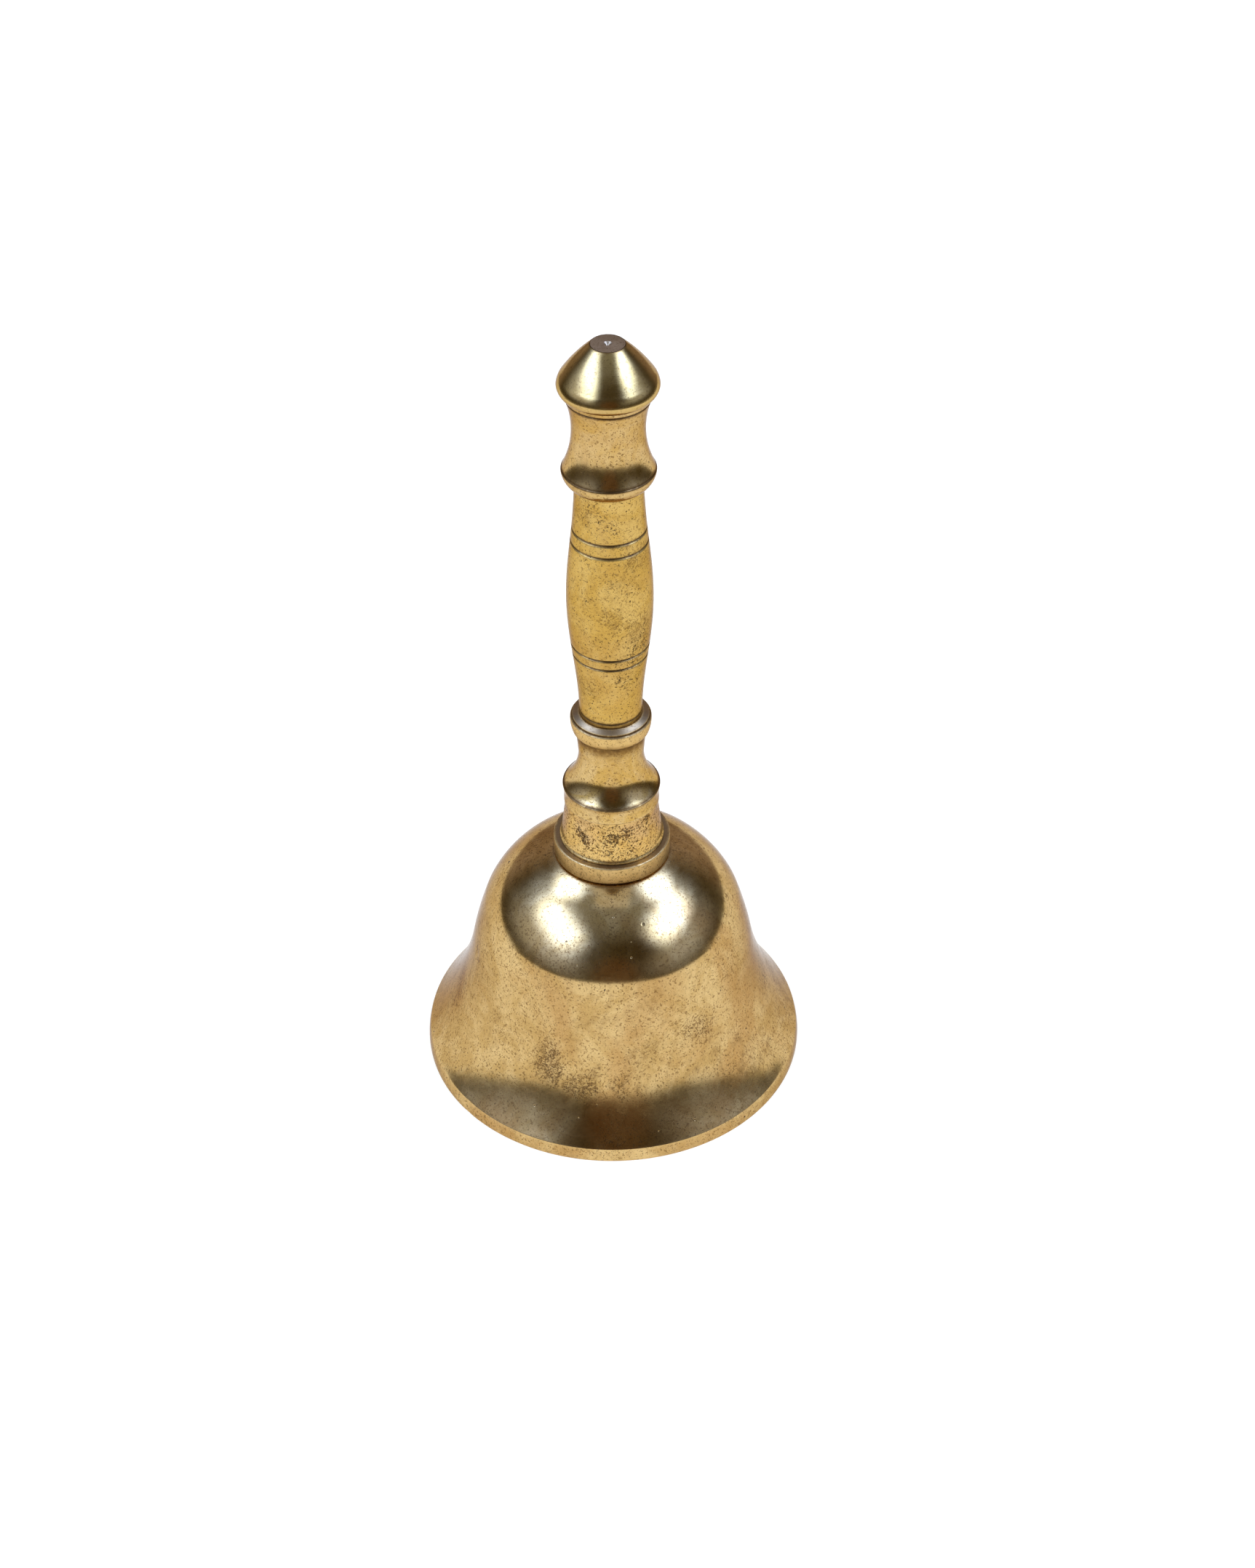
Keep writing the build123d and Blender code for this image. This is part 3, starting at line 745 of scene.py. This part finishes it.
class Sky(Graph):
    """The studio round the bell, as a world shader of soft lamps and dim walls."""

    def __init__(self, name):
        self.world = bpy.data.worlds.new(name)
        self.world.use_nodes = True
        self.tree = self.world.node_tree
        self.tree.nodes.clear()
        self.toward = self.new("ShaderNodeTexCoord").outputs["Generated"]
        self.light = None

    def along(self, axis):
        node = self.new("ShaderNodeVectorMath", operation="DOT_PRODUCT")
        self.put(node.inputs[0], self.toward)
        node.inputs[1].default_value = axis
        return node.outputs["Value"]

    def add(self, share, color):
        node = self.new("ShaderNodeVectorMath", operation="SCALE")
        node.inputs[0].default_value = color
        self.put(node.inputs["Scale"], share)
        if self.light is None:
            self.light = node.outputs[0]
            return
        total = self.new("ShaderNodeVectorMath", operation="ADD")
        self.put(total.inputs[0], self.light)
        self.put(total.inputs[1], node.outputs[0])
        self.light = total.outputs[0]

    def lamp(self, azimuth, elevation, half_width, half_height, blur, radiance, tilt=0.0, color=LAMP_TINT,
             fade=None):
        """A soft-edged rectangle of light. All sizes are angles in degrees; azimuth 0 is the camera's side.

        fade is the blur at its left and right ends, where that isn't the same as above and below."""
        a, e = math.radians(azimuth), math.radians(elevation)
        out = Vector((math.sin(a) * math.cos(e), -math.cos(a) * math.cos(e), math.sin(e)))
        level = Vector((math.cos(a), math.sin(a), 0))
        up = out.cross(level)
        turn = math.radians(tilt)
        wide = level * math.cos(turn) + up * math.sin(turn)
        high = up * math.cos(turn) - level * math.sin(turn)
        ahead = self.along(out)
        share = self.math("GREATER_THAN", ahead, 0.0)
        for axis, half, soft in ((wide, half_width, fade or blur), (high, half_height, blur)):
            off = self.math("ABSOLUTE", self.math("ARCTAN2", self.along(axis), ahead))
            edge = self.ramp(off, math.radians(half + soft), math.radians(max(half - soft, 0)))
            share = self.math("MULTIPLY", share, edge)
        self.add(share, [radiance * c for c in color])

    def disc(self, azimuth, elevation, reach, blur, color):
        """A soft-edged disc of light, reach degrees in radius."""
        a, e = math.radians(azimuth), math.radians(elevation)
        out = (math.sin(a) * math.cos(e), -math.cos(a) * math.cos(e), math.sin(e))
        inside, outside = (math.cos(math.radians(r)) for r in (reach - blur, reach + blur))
        self.add(self.ramp(self.along(out), outside, inside), color)

    def build(self, backdrop):
        """Lights the scene, with a plain backdrop for the camera itself."""
        dim = self.new("ShaderNodeBackground")
        self.put(dim.inputs[0], self.light)
        pale = self.new("ShaderNodeBackground")
        pale.inputs[0].default_value = (*backdrop, 1)
        path = self.new("ShaderNodeLightPath")
        mix = self.new("ShaderNodeMixShader")
        output = self.new("ShaderNodeOutputWorld")
        self.put(mix.inputs[0], path.outputs["Is Camera Ray"])
        self.put(mix.inputs[1], dim.outputs[0])
        self.put(mix.inputs[2], pale.outputs[0])
        self.put(output.inputs["Surface"], mix.outputs[0])
        bpy.context.scene.world = self.world


def add_studio():
    """Soft lamps at both sides, a grey ceiling, a dark room at the camera's side and a paler one behind."""
    sky = Sky("studio")
    behind = sky.ramp(sky.along((0, 1, 0)), 0.45, 0.85)
    above = sky.ramp(sky.along((0, 0, 1)), 0.60, 0.98)
    sky.add(sky.math("SUBTRACT", 1.0, behind), FRONT_ROOM)
    sky.add(behind, BACK_ROOM)
    sky.add(above, CEILING)
    sky.lamp(azimuth=-65, elevation=41, half_width=24, half_height=10, blur=12, radiance=3.9, tilt=-11)
    sky.lamp(azimuth=73, elevation=43, half_width=19, half_height=9, blur=12, radiance=4.8, tilt=9)
    for side in (-118, 116):
        sky.lamp(azimuth=side, elevation=60, half_width=11, half_height=9, blur=7, radiance=4.5)
    sky.lamp(azimuth=-80, elevation=42, half_width=30, half_height=14, blur=13, radiance=0.6)
    sky.lamp(azimuth=80, elevation=46, half_width=26, half_height=13, blur=13, radiance=0.7)
    sky.lamp(azimuth=-70, elevation=18, half_width=30, half_height=11, blur=10, radiance=0.78, color=LOW_TINT,
             fade=26)
    sky.lamp(azimuth=68, elevation=17, half_width=28, half_height=11, blur=10, radiance=0.58, color=LOW_TINT,
             fade=24)
    sky.disc(azimuth=2, elevation=10, reach=16, blur=8, color=RED_GLOW)
    sky.build(backdrop=(1.0, 1.0, 1.0))


def add_top_light(height, size, radiance):
    """A faint soft light overhead."""
    data = bpy.data.lights.new("top_light", "AREA")
    data.shape = "SQUARE"
    data.size = size
    data.energy = radiance * math.pi * size**2
    light = bpy.data.objects.new("top_light", data)
    bpy.context.scene.collection.objects.link(light)
    light.location = Vector((0, 0, height))


def add_camera(elevation, distance, lens, aim, roll):
    """The camera in front of the bell, looking down at it."""
    e = math.radians(elevation)
    back = Vector((0, -math.cos(e), math.sin(e)))
    data = bpy.data.cameras.new("camera")
    data.sensor_width = 36
    data.lens = lens
    data.clip_start = 0.01
    data.clip_end = 20
    camera = bpy.data.objects.new("camera", data)
    bpy.context.scene.collection.objects.link(camera)
    axis_point = Vector((0, 0, aim.z))
    camera.location = axis_point + back * distance
    look = (camera.location - aim).to_track_quat("Z", "Y")
    camera.rotation_mode = "QUATERNION"
    camera.rotation_quaternion = look @ Quaternion((0, 0, 1), math.radians(roll))
    bpy.context.scene.camera = camera


tall = high.z - low.z
add_floor(half_width=0.55, front=0.55, back=0.9, lip_start=0.25, lip_rise=0.038, lip_half_width=0.45)
add_studio()
add_top_light(height=1.0, size=0.4, radiance=0.35)
add_camera(elevation=39.62, distance=3.408 * tall, lens=66.12, aim=Vector((0.019 * tall, 0, 0.3989 * tall)),
           roll=-0.22)
bpy.context.scene.view_settings.view_transform = "Standard"
